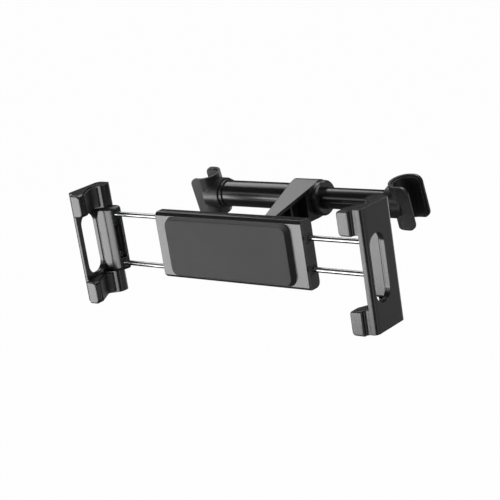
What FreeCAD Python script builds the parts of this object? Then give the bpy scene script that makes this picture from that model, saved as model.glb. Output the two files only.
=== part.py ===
import FreeCAD, Part
import Sketcher
import math
import os

# Telescopic headrest tablet mount, in millimetres.
# The origin is the centre of the pad's front face, where the back of the tablet lies.
# X runs to the right along the cradle, Y runs away from the tablet towards the seat, Z is up.

SIZES = {
    # Cradle body, a shallow box of two shells with a soft pad on its front
    "pad_width": 121.0,
    "pad_height": 46.4,
    "pad_proud": 4.5,
    "pad_side_flare": 1.9,
    "pad_top_flare": 1.2,
    "pad_corner": 6.0,
    "body_width": 146.5,
    "body_height": 54.4,
    "body_face_height": 49.4,
    "body_crown": 5.1,
    "body_depth": 13.2,
    "body_corner": 4.4,
    "shell_wall": 1.8,
    "plate_thick": 2.4,
    "cover_screw_inset": 23.0,
    "left_screw_inset": 16.7,
    "right_screw_inset": 6.4,
    "screw_radius": 1.25,
    "screw_hole_fit": 0.2,
    "screw_head_radius": 2.6,
    "screw_head_thick": 1.4,
    "screw_head_sink": 0.2,
    "screw_tip_gap": 0.2,
    "pillar_radius": 3.1,
    "merge": 0.1,
    # Chromed rods and the bushes that guide them
    "rod_radius": 2.0,
    "rod_depth": 12.3,
    "left_rod_inset": 6.2,
    "right_rod_inset": 14.9,
    "rod_stop_gap": 1.0,
    "rod_head_radius": 2.8,
    "rod_head_thick": 2.0,
    "rod_seat": 13.0,
    "rod_fit": 0.05,
    "bush_radius": 3.5,
    "bush_length": 24.0,
    "bush_set_back": 0.4,
    "brake_radius": 3.2,
    "brake_thick": 2.2,
    # Jaws: a slotted outer wall with a grooved finger block at the top and at the bottom
    "jaw_face": 146.3,
    "jaw_wall": 5.3,
    "jaw_height": 92.2,
    "block_height": 18.7,
    "finger_tip": 128.0,
    "finger_front": 22.5,
    "finger_back": 17.0,
    "finger_nose": 1.0,
    "finger_lip": 0.6,
    "band_front": 17.7,
    "band_round": 4.0,
    "step_x": 138.5,
    "step_slope": 0.4,
    "step_round": 2.6,
    "wall_round": 0.9,
    "channel_floor": 139.6,
    "floor_front": 0.4,
    "floor_back": 2.8,
    "foot_front": 8.8,
    "foot_ramp": 3.6,
    "foot_tip": 131.2,
    "foot_back": 18.8,
    "foot_corner": 4.6,
    "tip_corner": 1.4,
    "finger_corner": 3.0,
    "slot_centre_y": -3.8,
    "slot_width": 17.4,
    "slot_length": 51.0,
    "relief_width": 0.8,
    "relief_depth": 1.7,
    "top_slot_x": 137.6,
    "top_slot_y": 11.2,
    "top_slot_width": 1.2,
    "top_slot_length": 4.4,
    "top_slot_depth": 2.0,
    "grip_thick": 1.5,
    "grip_inset": 1.1,
    "grip_round": 2.5,
    # Carriages: the block in each jaw that holds the rods' outer ends
    "carriage_face": 123.4,
    "carriage_front": 5.6,
    "carriage_back": 16.5,
    "carriage_round": 10.4,
    "carriage_gap": 0.2,
    "recess_y": 12.0,
    "recess_width": 5.6,
    "recess_depth": 5.0,
    "recess_margin": 4.5,
    "carriage_corner": 2.6,
    "carriage_screw_inset": 2.8,
    "carriage_screw_end": 145.0,
    # Ball joint behind the cradle
    "ball_radius": 8.5,
    "seat_thick": 1.5,
    "seat_gap": 2.0,
    "rear_seat_end": 5.8,
    "ball_fit": 0.05,
    "socket_radius": 14.0,
    "socket_floor": 0.8,
    "nut_radius": 17.2,
    "nut_opening": 7.6,
    "nut_gap": 1.2,
    "nut_edge": 0.6,
    "nut_straight": 2.0,
    "nut_depth": 8.0,
    "nut_end_wall": 3.4,
    "nut_rib_count": 18,
    "nut_rib_radius": 1.1,
    "nut_rib_rise": 0.8,
    "neck_radius": 3.6,
    "neck_length": 13.0,
    "stud_length": 14.0,
    "stud_pin_radius": 1.25,
    # Arm from the ball joint to the tube
    "arm_nose_radius": 7.0,
    "arm_nose_length": 14.0,
    "arm_neck_width": 11.0,
    "arm_waist": 60.0,
    "arm_right": 13.9,
    "arm_start": 2.0,
    "arm_flank": 6.0,
    "pin_set_back": 0.2,
    "arm_wall": 3.0,
    "arm_web": 2.6,
    "arm_rib": 1.8,
    "hub_radius": 15.0,
    "hub_left": -11.2,
    "hub_right": 15.6,
    "hub_bevel": 2.4,
    "hub_bevel_rise": 1.1,
    "bush_wall": 1.3,
    "run_fit": 0.06,
    # Telescopic tube, its locking collar and the hooks on the two posts
    "tube_y": 107.5,
    "tube_z": 12.5,
    "tube_radius": 11.0,
    "tube_wall": 1.7,
    "tube_right": 16.9,
    "inner_radius": 8.65,
    "inner_wall": 1.5,
    "inner_left": -24.0,
    "guide_length": 6.0,
    "guide_rim": 1.6,
    "guide_wall": 1.5,
    "key_width": 1.2,
    "key_depth": 0.6,
    "collar_gap": 0.3,
    "collar_length": 3.7,
    "collar_radius": 14.4,
    "collar_bevel": 1.4,
    "collar_lip": 1.3,
    "collet_length": 9.0,
    "collet_rim": 0.4,
    "left_post_x": -103.0,
    "right_post_x": 98.7,
    "post_lean": 11.5,
    "post_radius": 8.6,
    "hook_radius": 12.0,
    "hook_reach": 9.6,
    "hook_height": 37.0,
    "hook_corner": 6.0,
    "liner_thick": 1.3,
    "liner_inset": 1.2,
    "boss_radius": 13.2,
    "left_boss": 16.1,
    "right_boss": 16.0,
    "ring_radius": 12.1,
    "ring_length": 3.4,
    "tube_seat": 4.0,
    "inner_seat": 3.0,
    "plug_length": 12.0,
    "hook_screw_radius": 2.0,
    "hook_screw_head": 3.6,
    "hook_screw_sink": 1.0,
    "hook_screw_fit": 0.1,
}

doc = FreeCAD.newDocument("HeadrestTabletMount")
sheet = doc.addObject("Spreadsheet::Sheet", "Sizes")
for row, (alias, number) in enumerate(SIZES.items(), start=1):
    sheet.set(f"A{row}", alias)
    sheet.set(f"B{row}", str(number))
    sheet.setAlias(f"B{row}", alias)
doc.recompute()


class Size:
    """A size that knows its number and the spreadsheet expression that gives it."""

    def __init__(self, text, number):
        self.text = text
        self.number = float(number)

    def joined(self, sign, other, number):
        return Size(f"({self.text} {sign} {as_size(other).text})", number)

    def __add__(self, other):
        return self.joined("+", other, self.number + as_size(other).number)

    def __sub__(self, other):
        return self.joined("-", other, self.number - as_size(other).number)

    def __mul__(self, other):
        return self.joined("*", other, self.number * as_size(other).number)

    def __truediv__(self, other):
        return self.joined("/", other, self.number / as_size(other).number)

    def __neg__(self):
        return Size(f"(0 - {self.text})", -self.number)

    __radd__ = __add__
    __rmul__ = __mul__

    def __rsub__(self, other):
        return as_size(other) - self


def as_size(value):
    """Plain numbers take part in the same arithmetic as named sizes."""
    if isinstance(value, Size):
        return value
    return Size(f"{value:g}", value)


class Named:
    """Every alias of the spreadsheet as an attribute, such as named.rod_radius."""

    def __init__(self, numbers):
        for alias, number in numbers.items():
            setattr(self, alias, Size(f"Sizes.{alias}", number))


s = Named(SIZES)

# Places that several pieces share

body_front = s.pad_proud
body_back = body_front + s.body_depth
body_end = s.body_width / 2
plate_back = body_front + s.plate_thick
inside_back = body_back - s.shell_wall
inside_top = s.body_height / 2 - s.shell_wall
jaw_inner_face = s.jaw_face - s.jaw_wall
jaw_top = s.jaw_height / 2
block_bottom = jaw_top - s.block_height
ramp_y = s.foot_front - s.foot_ramp * (s.foot_front - s.floor_back) / (s.channel_floor - s.foot_tip)
seat_radius = s.ball_radius + s.ball_fit + s.seat_thick
ball_y = body_back + s.socket_floor + seat_radius
hub_bore = s.tube_radius + s.run_fit + s.bush_wall
bush_start = body_end - s.bush_length
rod_start = bush_start - s.rod_stop_gap - s.rod_head_thick
split = body_front + s.body_depth / 2
nose_front = ball_y + s.neck_length
pin_y = nose_front + s.arm_nose_length / 2


def bind(thing, name, value):
    """Tie one property of a document object to a named size."""
    value = as_size(value)
    thing.setExpression(name, value.text)


def place(thing, x=0, y=0, z=0):
    """Bind the position of an object to named sizes."""
    for axis, value in zip("xyz", (x, y, z)):
        bind(thing, f"Placement.Base.{axis}", value)


def start_body(name):
    """A PartDesign body whose label names the piece."""
    body = doc.addObject("PartDesign::Body", name)
    body.Label = name
    return body


# Sketch planes: the role of the origin plane, the sign that turns its normal into the world
# axis, and whether a pocket starts at the low or at the high end of its span.

PLANES = {"X": ("YZ_Plane", 1), "Y": ("XZ_Plane", -1), "Z": ("XY_Plane", 1)}


def start_sketch(body, name, axis, offset):
    """A sketch square to a world axis, at a named distance along it."""
    role, sign = PLANES[axis]
    sketch = body.newObject("Sketcher::SketchObject", name)
    plane = [item for item in body.Origin.OriginFeatures if item.Role == role][0]
    sketch.AttachmentSupport = (plane, [""])
    sketch.MapMode = "FlatFace"
    bind(sketch, "AttachmentOffset.Base.z", as_size(offset) * sign)
    return sketch


def pin_point(sketch, item, point, u, v):
    """Hold one point of a sketch at two named distances from its origin."""
    for kind, value in (("DistanceX", u), ("DistanceY", v)):
        value = as_size(value)
        number = sketch.addConstraint(Sketcher.Constraint(kind, -1, 1, item, point, value.number))
        sketch.setExpression(f"Constraints[{number}]", value.text)


def draw_polygon(sketch, corners):
    """Straight lines through named corners, closed on the first."""
    first = sketch.GeometryCount
    count = len(corners)
    flat = [(as_size(u), as_size(v)) for u, v in corners]
    for index in range(count):
        here = flat[index]
        there = flat[(index + 1) % count]
        start = FreeCAD.Vector(here[0].number, here[1].number, 0)
        end = FreeCAD.Vector(there[0].number, there[1].number, 0)
        sketch.addGeometry(Part.LineSegment(start, end), False)
    for index in range(count):
        after = first + (index + 1) % count
        sketch.addConstraint(Sketcher.Constraint("Coincident", first + index, 2, after, 1))
        pin_point(sketch, first + index, 1, flat[index][0], flat[index][1])


def draw_box(sketch, u_low, u_high, v_low, v_high):
    """A rectangle given by its four sides."""
    corners = [(u_low, v_low), (u_high, v_low), (u_high, v_high), (u_low, v_high)]
    draw_polygon(sketch, corners)


def draw_circle(sketch, u, v, radius):
    """A circle at a named centre."""
    u, v, radius = as_size(u), as_size(v), as_size(radius)
    centre = FreeCAD.Vector(u.number, v.number, 0)
    item = sketch.addGeometry(Part.Circle(centre, FreeCAD.Vector(0, 0, 1), radius.number), False)
    pin_point(sketch, item, 3, u, v)
    number = sketch.addConstraint(Sketcher.Constraint("Radius", item, radius.number))
    sketch.setExpression(f"Constraints[{number}]", radius.text)


def draw_slot(sketch, u, v_centre, radius, straight):
    """A slot with round ends that stands along v, drawn as two arcs and two tangent lines."""
    u, radius, straight = as_size(u), as_size(radius), as_size(straight)
    top = as_size(v_centre) + straight / 2
    bottom = as_size(v_centre) - straight / 2
    normal = FreeCAD.Vector(0, 0, 1)
    arcs = []
    for centre, begin in ((top, 0.0), (bottom, math.pi)):
        circle = Part.Circle(FreeCAD.Vector(u.number, centre.number, 0), normal, radius.number)
        arc = sketch.addGeometry(Part.ArcOfCircle(circle, begin, begin + math.pi), False)
        arcs.append(arc)
        pin_point(sketch, arc, 3, u, centre)
        number = sketch.addConstraint(Sketcher.Constraint("Radius", arc, radius.number))
        sketch.setExpression(f"Constraints[{number}]", radius.text)
    for side, (top_end, bottom_end) in ((1, (1, 2)), (-1, (2, 1))):
        x = u.number + side * radius.number
        start = FreeCAD.Vector(x, top.number, 0)
        end = FreeCAD.Vector(x, bottom.number, 0)
        line = sketch.addGeometry(Part.LineSegment(start, end), False)
        sketch.addConstraint(Sketcher.Constraint("Tangent", arcs[0], top_end, line, 1))
        sketch.addConstraint(Sketcher.Constraint("Tangent", arcs[1], bottom_end, line, 2))


def draw_rounded_box(sketch, half_u, half_v, radius):
    """A rectangle about the origin with round corners: four arcs joined by tangent lines."""
    half_u, half_v, radius = as_size(half_u), as_size(half_v), as_size(radius)
    reach_u = half_u - radius
    reach_v = half_v - radius
    arcs = []
    for quarter, (side_u, side_v) in enumerate([(1, 1), (-1, 1), (-1, -1), (1, -1)]):
        centre = (reach_u * side_u, reach_v * side_v)
        middle = FreeCAD.Vector(centre[0].number, centre[1].number, 0)
        circle = Part.Circle(middle, FreeCAD.Vector(0, 0, 1), radius.number)
        begin = quarter * math.pi / 2
        arc = sketch.addGeometry(Part.ArcOfCircle(circle, begin, begin + math.pi / 2), False)
        pin_point(sketch, arc, 3, centre[0], centre[1])
        number = sketch.addConstraint(Sketcher.Constraint("Radius", arc, radius.number))
        sketch.setExpression(f"Constraints[{number}]", radius.text)
        arcs.append(arc)
    for index, arc in enumerate(arcs):
        after = arcs[(index + 1) % 4]
        start = sketch.getPoint(arc, 2)
        end = sketch.getPoint(after, 1)
        line = sketch.addGeometry(Part.LineSegment(start, end), False)
        sketch.addConstraint(Sketcher.Constraint("Tangent", arc, 2, line, 1))
        sketch.addConstraint(Sketcher.Constraint("Tangent", line, 2, after, 1))


def add_solid(body, name, axis, low, high, draw, *shape):
    """A pad that fills the drawn outline from low to high along a world axis."""
    low, high = as_size(low), as_size(high)
    start = high if PLANES[axis][1] < 0 else low
    sketch = start_sketch(body, f"{name}_sketch", axis, start)
    draw(sketch, *shape)
    pad = body.newObject("PartDesign::Pad", name)
    pad.Profile = sketch
    bind(pad, "Length", high - low)
    return pad


def cut_away(body, name, axis, low, high, draw, *shape):
    """A pocket that clears the drawn outline from low to high along a world axis."""
    low, high = as_size(low), as_size(high)
    start = low if PLANES[axis][1] < 0 else high
    sketch = start_sketch(body, f"{name}_sketch", axis, start)
    draw(sketch, *shape)
    before = body.Tip.Shape.Volume if body.Tip.Shape.Solids else None
    pocket = body.newObject("PartDesign::Pocket", name)
    pocket.Profile = sketch
    bind(pocket, "Length", high - low)
    doc.recompute()
    if before is not None and pocket.Shape.Volume > before - 1e-6:
        raise RuntimeError(f"{name} cuts nothing")
    return pocket


def turn_solid(body, name, outline):
    """A body of revolution about X: the outline gives (along the axis, radius) points."""
    sketch = start_sketch(body, f"{name}_sketch", "Y", 0)
    draw_polygon(sketch, outline)
    turned = body.newObject("PartDesign::Revolution", name)
    turned.Profile = sketch
    turned.ReferenceAxis = (sketch, ["H_Axis"])
    turned.Angle = 360
    return turned


def straight_edges(shape, direction, *tests):
    """Names of the straight edges along a world direction whose middle passes every test."""
    chosen = []
    for number, edge in enumerate(shape.Edges, start=1):
        if not isinstance(edge.Curve, (Part.Line, Part.LineSegment)):
            continue
        start = edge.Vertexes[0].Point
        end = edge.Vertexes[-1].Point
        run = (end - start).normalize()
        if abs(abs(run.dot(direction)) - 1) > 1e-6:
            continue
        middle = (start + end) * 0.5
        if all(test(middle) for test in tests):
            chosen.append(f"Edge{number}")
    return chosen


ALONG_X = FreeCAD.Vector(1, 0, 0)
ALONG_Y = FreeCAD.Vector(0, 1, 0)
ALONG_Z = FreeCAD.Vector(0, 0, 1)
WORLD = {"X": ALONG_X, "Y": ALONG_Y, "Z": ALONG_Z}


def round_edges(body, name, radius, direction, *tests):
    """A fillet on the chosen straight edges of the body as it stands."""
    doc.recompute()
    base = body.Tip
    names = straight_edges(base.Shape, direction, *tests)
    if not names:
        raise RuntimeError(f"{name} finds no edge")
    fillet = body.newObject("PartDesign::Fillet", name)
    fillet.Base = (base, names)
    bind(fillet, "Radius", radius)
    doc.recompute()
    return fillet


def near(value, target, reach=0.05):
    return abs(value - as_size(target).number) < reach


def span(sign, inner, outer):
    """The low and high end of a stretch that lies to the left or to the right of the middle."""
    if sign > 0:
        return as_size(inner), as_size(outer)
    return -as_size(outer), -as_size(inner)


def make_cylinder(name, axis, radius, low, high, x=0, y=0, z=0):
    """A Part cylinder along a world axis, between two named places on it."""
    cylinder = doc.addObject("Part::Cylinder", name)
    bind(cylinder, "Radius", radius)
    bind(cylinder, "Height", as_size(high) - low)
    cylinder.Placement.Rotation = FreeCAD.Rotation(ALONG_Z, WORLD[axis])
    start = {"x": x, "y": y, "z": z}
    start[axis.lower()] = low
    place(cylinder, **start)
    return cylinder


def make_sphere(name, radius, y):
    """A Part sphere on the Y axis."""
    sphere = doc.addObject("Part::Sphere", name)
    bind(sphere, "Radius", radius)
    place(sphere, 0, y, 0)
    return sphere


def make_fuse(name, parts):
    fuse = doc.addObject("Part::MultiFuse", name)
    fuse.Shapes = parts
    fuse.Refine = True
    fuse.Label = name
    return fuse


def make_cut(name, base, tool):
    cut = doc.addObject("Part::Cut", name)
    cut.Base = base
    cut.Tool = tool
    cut.Refine = True
    cut.Label = name
    return cut


pieces = []

# Cradle shells

screw_x = body_end - s.cover_screw_inset
left_screw_z = s.body_height / 2 - s.left_screw_inset
right_screw_z = s.body_height / 2 - s.right_screw_inset
left_rod_z = s.body_height / 2 - s.left_rod_inset
right_rod_z = s.body_height / 2 - s.right_rod_inset

SCREW_SPOTS = [
    (-screw_x, left_screw_z),
    (-screw_x, -left_screw_z),
    (screw_x, right_screw_z),
    (screw_x, -right_screw_z),
]
ROD_SPOTS = {"left": (-1, left_rod_z), "right": (1, right_rod_z)}
LEVELS = {"upper": 1, "lower": -1}


def body_blank(name):
    """The closed outline of the cradle body, crowned along its top and bottom."""
    body = start_body(name)
    half = s.body_height / 2
    face_half = s.body_face_height / 2
    crown = body_front + s.body_crown
    section = [
        (body_front, -face_half),
        (crown, -half),
        (body_back, -half),
        (body_back, half),
        (crown, half),
        (body_front, face_half),
    ]
    add_solid(body, f"{name}_block", "X", -body_end, body_end, draw_polygon, section)
    back = body_back.number
    round_edges(body, f"{name}_round", s.body_corner, ALONG_X, lambda p: near(p.y, back))
    return body


def front_cover():
    """The front plate, with a pillar for each cover screw."""
    body = body_blank("front_cover")
    reach = s.body_height
    far = body_back + s.body_depth
    cut_away(body, "front_trim", "X", -body_end, body_end, draw_box, plate_back, far, -reach, reach)
    root = plate_back - s.merge
    for number, (x, z) in enumerate(SCREW_SPOTS, start=1):
        add_solid(body, f"pillar_{number}", "Y", root, split, draw_circle, x, z, s.pillar_radius)
        cut_away(body, f"pilot_{number}", "Y", plate_back, split, draw_circle, x, z, s.screw_radius)
    return body


def back_cover():
    """The back shell: hollow, with blocks for the rod bushes and the socket of the ball joint."""
    body = body_blank("back_shell")
    reach = s.body_height
    cut_away(body, "back_trim", "X", -body_end, body_end, draw_box, 0, plate_back, -reach, reach)
    inner_end = body_end - s.shell_wall
    cut_away(
        body, "hollow", "Y", plate_back, inside_back,
        draw_box, -inner_end, inner_end, -inside_top, inside_top,
    )
    root = inside_back + s.merge
    for number, (x, z) in enumerate(SCREW_SPOTS, start=1):
        add_solid(body, f"post_{number}", "Y", split, root, draw_circle, x, z, s.pillar_radius)
    block_half = s.bush_radius + s.shell_wall
    for side, (sign, rod_z) in ROD_SPOTS.items():
        for end, level in LEVELS.items():
            tag = f"{side}_{end}"
            centre = rod_z * level
            low, high = span(sign, bush_start, inner_end + s.merge)
            block_sides = (centre - block_half, centre + block_half)
            add_solid(body, f"block_{tag}", "X", low, high, draw_box, plate_back, root, *block_sides)
            low, high = span(sign, bush_start, body_end)
            slot_sides = (centre - s.bush_radius, centre + s.bush_radius)
            cut_away(body, f"slot_{tag}", "X", low, high, draw_box, 0, s.rod_depth, *slot_sides)
            cut_away(body, f"bore_{tag}", "X", low, high, draw_circle, s.rod_depth, centre, s.bush_radius)
    wall_root = body_back - s.merge
    add_solid(body, "socket_wall", "Y", wall_root, ball_y, draw_circle, 0, 0, s.socket_radius)
    clear = s.screw_radius + s.screw_hole_fit
    head_floor = body_back - s.screw_head_thick
    head_clear = s.screw_head_radius + s.screw_hole_fit
    for number, (x, z) in enumerate(SCREW_SPOTS, start=1):
        cut_away(body, f"screw_hole_{number}", "Y", split, body_back, draw_circle, x, z, clear)
        cut_away(body, f"head_hole_{number}", "Y", head_floor, body_back, draw_circle, x, z, head_clear)
    pocket = make_sphere("socket_pocket", seat_radius + s.ball_fit, ball_y)
    return make_cut("back_cover", body, pocket)


def face_pad():
    """The soft pad on the front of the cradle, with sides that slope in to its face."""
    body = start_body("face_pad")
    half_x = s.pad_width / 2
    half_z = s.pad_height / 2
    front = start_sketch(body, "pad_face", "Y", 0)
    draw_rounded_box(front, half_x, half_z, s.pad_corner)
    back = start_sketch(body, "pad_base", "Y", s.pad_proud)
    base_x = half_x + s.pad_side_flare
    base_z = half_z + s.pad_top_flare
    draw_rounded_box(back, base_x, base_z, s.pad_corner + s.pad_top_flare)
    loft = body.newObject("PartDesign::AdditiveLoft", "pad_slope")
    loft.Profile = front
    loft.Sections = [back]
    return body


def cover_screws():
    """The four screws that hold the two shells together, entered from the back."""
    tools = []
    tip = plate_back + s.screw_tip_gap
    floor = body_back - s.screw_head_thick
    top = body_back - s.screw_head_sink
    for number, (x, z) in enumerate(SCREW_SPOTS, start=1):
        tools.append(make_cylinder(f"cover_shank_{number}", "Y", s.screw_radius, tip, floor, x=x, z=z))
        tools.append(make_cylinder(f"cover_head_{number}", "Y", s.screw_head_radius, floor, top, x=x, z=z))
    return make_fuse("cover_screws", tools)


def rod_bush(side, tag):
    """A plastic bush dropped into its slot from the front before the plate closes it."""
    sign, rod_z = ROD_SPOTS[side]
    name = f"{side}_rod_bush_{tag}"
    body = start_body(name)
    centre = rod_z * LEVELS[tag]
    low, high = span(sign, bush_start + s.brake_thick, body_end - s.bush_set_back)
    add_solid(body, f"{name}_round", "X", low, high, draw_circle, s.rod_depth, centre, s.bush_radius)
    sides = (centre - s.bush_radius, centre + s.bush_radius)
    add_solid(body, f"{name}_tail", "X", low, high, draw_box, plate_back, s.rod_depth, *sides)
    bore = s.rod_radius + s.rod_fit
    cut_away(body, f"{name}_bore", "X", low, high, draw_circle, s.rod_depth, centre, bore)
    return body


def brake_rings():
    """A rubber ring behind each bush, which rubs on its rod and holds the jaw where it is set."""
    rings = []
    for side, (sign, rod_z) in ROD_SPOTS.items():
        for end, level in LEVELS.items():
            tag = f"{side}_{end}"
            low, high = span(sign, bush_start, bush_start + s.brake_thick)
            spot = {"y": s.rod_depth, "z": rod_z * level}
            disc = make_cylinder(f"brake_disc_{tag}", "X", s.brake_radius, low, high, **spot)
            bore = make_cylinder(f"brake_bore_{tag}", "X", s.rod_radius + s.rod_fit, low, high, **spot)
            rings.append(make_cut(f"brake_ring_{tag}", disc, bore))
    return make_fuse("brake_rings", rings)


# Rods, carriages and jaws

def rod(side, tag):
    """A chromed rod with an upset head on its inner end, which stops it at the bush."""
    sign, rod_z = ROD_SPOTS[side]
    name = f"{side}_rod_{tag}"
    spot = {"y": s.rod_depth, "z": rod_z * LEVELS[tag]}
    low, high = span(sign, rod_start, s.carriage_face + s.rod_seat)
    bar = make_cylinder(f"{name}_bar", "X", s.rod_radius, low, high, **spot)
    low, high = span(sign, rod_start, rod_start + s.rod_head_thick)
    stop = make_cylinder(f"{name}_head", "X", s.rod_head_radius, low, high, **spot)
    return make_fuse(name, [bar, stop])


def sided(sign, corners):
    """Corners of a plan outline, turned over for the left-hand side."""
    if sign > 0:
        return corners
    return [(-x, y) for x, y in reversed(corners)]


def carriage_screw_z(side):
    """How far the two screws of a carriage lie from its middle, a named step inside the recess."""
    return ROD_SPOTS[side][1] - s.recess_margin - s.carriage_screw_inset


def carriage(side):
    """The block that joins a pair of rods to their jaw: a column with a round front and a recess inside."""
    sign, rod_z = ROD_SPOTS[side]
    name = f"{side}_carriage"
    body = start_body(name)
    top = block_bottom - s.carriage_gap
    face = s.carriage_face * sign
    corners = [
        (s.carriage_face, s.carriage_front),
        (jaw_inner_face, s.carriage_front),
        (jaw_inner_face, s.carriage_back),
        (s.carriage_face, s.carriage_back),
    ]
    add_solid(body, f"{name}_block", "Z", -top, top, draw_polygon, sided(sign, corners))
    at_face = lambda p: near(p.x, face)
    round_edges(
        body, f"{name}_front", s.carriage_round, ALONG_Z,
        at_face, lambda p: near(p.y, s.carriage_front),
    )
    round_edges(body, f"{name}_round", s.carriage_corner, ALONG_Y, at_face)
    half = rod_z - s.recess_margin
    y_low = s.recess_y - s.recess_width / 2
    y_high = s.recess_y + s.recess_width / 2
    low, high = span(sign, s.carriage_face, s.carriage_face + s.recess_depth)
    cut_away(body, f"{name}_recess", "X", low, high, draw_box, y_low, y_high, -half, half)
    low, high = span(sign, s.carriage_face, s.carriage_face + s.rod_seat)
    for tag, level in LEVELS.items():
        cut_away(
            body, f"{name}_seat_{tag}", "X", low, high,
            draw_circle, s.rod_depth, rod_z * level, s.rod_radius,
        )
    low, high = span(sign, s.carriage_face + s.recess_depth, jaw_inner_face)
    for tag, level in LEVELS.items():
        cut_away(
            body, f"{name}_screw_{tag}", "X", low, high,
            draw_circle, s.recess_y, carriage_screw_z(side) * level, s.screw_radius,
        )
    return body


def carriage_screws(side):
    """Two screws in the recess of a carriage, which hold it against the jaw's wall."""
    sign = ROD_SPOTS[side][0]
    tools = []
    floor = s.carriage_face + s.recess_depth
    for tag, level in LEVELS.items():
        spot = {"y": s.recess_y, "z": carriage_screw_z(side) * level}
        low, high = span(sign, floor, s.carriage_screw_end)
        tools.append(make_cylinder(f"{side}_screw_shank_{tag}", "X", s.screw_radius, low, high, **spot))
        low, high = span(sign, floor - s.screw_head_thick, floor)
        tools.append(make_cylinder(f"{side}_screw_head_{tag}", "X", s.screw_head_radius, low, high, **spot))
    return make_fuse(f"{side}_carriage_screws", tools)


def jaw(side):
    """One jaw: a slotted wall with a finger and a foot at each end, and a groove between them."""
    sign = ROD_SPOTS[side][0]
    name = f"{side}_jaw"
    body = start_body(name)
    corners = [
        (s.jaw_face, -s.band_front),
        (s.jaw_face, s.foot_back),
        (s.foot_tip, s.foot_back),
        (s.foot_tip, s.foot_front),
        (s.foot_tip + s.foot_ramp, ramp_y),
        (s.channel_floor, s.floor_back),
        (s.channel_floor, s.floor_front),
        (s.finger_tip + s.finger_nose, -s.finger_back),
        (s.finger_tip, -s.finger_back - s.finger_lip),
        (s.finger_tip, -s.finger_front),
        (s.step_x - s.step_slope, -s.finger_front),
        (s.step_x, -s.band_front),
    ]
    add_solid(body, f"{name}_profile", "Z", -jaw_top, jaw_top, draw_polygon, sided(sign, corners))
    round_edges(
        body, f"{name}_back_round", s.foot_corner, ALONG_Z,
        lambda p: near(p.y, s.foot_back),
    )
    low, high = span(sign, s.finger_tip - 2, jaw_inner_face)
    cut_away(
        body, f"{name}_window", "X", low, high,
        draw_box, -s.finger_front - 2, s.foot_back + 2, -block_bottom, block_bottom,
    )
    radius = s.slot_width / 2
    straight = s.slot_length - s.slot_width
    low, high = span(sign, jaw_inner_face, s.jaw_face)
    cut_away(body, f"{name}_slot", "X", low, high, draw_slot, s.slot_centre_y, 0, radius, straight)
    low, high = span(sign, jaw_inner_face, jaw_inner_face + s.relief_depth)
    cut_away(
        body, f"{name}_relief", "X", low, high,
        draw_slot, s.slot_centre_y, 0, radius + s.relief_width, straight,
    )
    low, high = span(sign, jaw_inner_face, s.carriage_screw_end)
    for tag, level in LEVELS.items():
        cut_away(
            body, f"{name}_screw_{tag}", "X", low, high,
            draw_circle, s.recess_y, carriage_screw_z(side) * level, s.screw_radius,
        )
    for tag, (low, high) in {
        "upper": (jaw_top - s.top_slot_depth, jaw_top),
        "lower": (-jaw_top, -jaw_top + s.top_slot_depth),
    }.items():
        cut_away(
            body, f"{name}_mark_{tag}", "Z", low, high,
            draw_slot, s.top_slot_x * sign, s.top_slot_y, s.top_slot_width / 2, s.top_slot_length,
        )
    tip = s.finger_tip * sign
    round_edges(
        body, f"{name}_finger_round", s.finger_corner, ALONG_Y,
        lambda p: near(p.x, tip), lambda p: p.y < 0,
    )
    round_edges(
        body, f"{name}_tip_round", s.tip_corner, ALONG_Z,
        lambda p: near(p.y, -s.finger_front),
    )
    for tag, radius, x in (
        ("band", s.band_round, s.jaw_face),
        ("step", s.step_round, s.step_x),
        ("wall", s.wall_round, jaw_inner_face),
    ):
        edge = x * sign
        round_edges(
            body, f"{name}_{tag}_round", radius, ALONG_Z,
            lambda p: near(p.x, edge), lambda p: near(p.y, -s.band_front),
        )
    return body


def jaw_grip(side, tag):
    """The rubber strip that lines the groove of one finger block."""
    sign = ROD_SPOTS[side][0]
    name = f"{side}_grip_{tag}"
    body = start_body(name)
    thick = s.grip_thick
    inner_floor = s.channel_floor - thick
    ramp_x = s.foot_tip + s.foot_ramp
    corners = [
        (s.channel_floor, s.floor_front),
        (s.channel_floor, s.floor_back),
        (ramp_x, ramp_y),
        (ramp_x - thick / 2, ramp_y - thick),
        (inner_floor, s.floor_front),
        (s.finger_tip + s.finger_nose / 2, -s.finger_back + thick),
        (s.finger_tip + s.finger_nose, -s.finger_back),
    ]
    low = block_bottom + s.grip_inset
    high = jaw_top - s.grip_inset
    if LEVELS[tag] < 0:
        low, high = -high, -low
    add_solid(body, f"{name}_strip", "Z", low, high, draw_polygon, sided(sign, corners))
    floor = inner_floor * sign
    round_edges(
        body, f"{name}_round", s.grip_round, ALONG_Z,
        lambda p: near(p.x, floor),
    )
    return body


# Ball joint

def ball_seat(name, front):
    """One of the two shells that wrap the ball: a slice of a hollow sphere."""
    ball = make_sphere(f"{name}_inside", s.ball_radius + s.ball_fit, ball_y)
    shell = make_sphere(f"{name}_outside", seat_radius, ball_y)
    hollow = make_cut(f"{name}_shell", shell, ball)
    if front:
        low, high = ball_y - seat_radius * 2, ball_y - s.seat_gap
    else:
        low, high = ball_y + s.seat_gap, ball_y + s.rear_seat_end
    slab = make_cylinder(f"{name}_slice", "Y", seat_radius * 2, low, high)
    common = doc.addObject("Part::Common", name)
    common.Base = hollow
    common.Tool = slab
    common.Label = name
    return common


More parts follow.
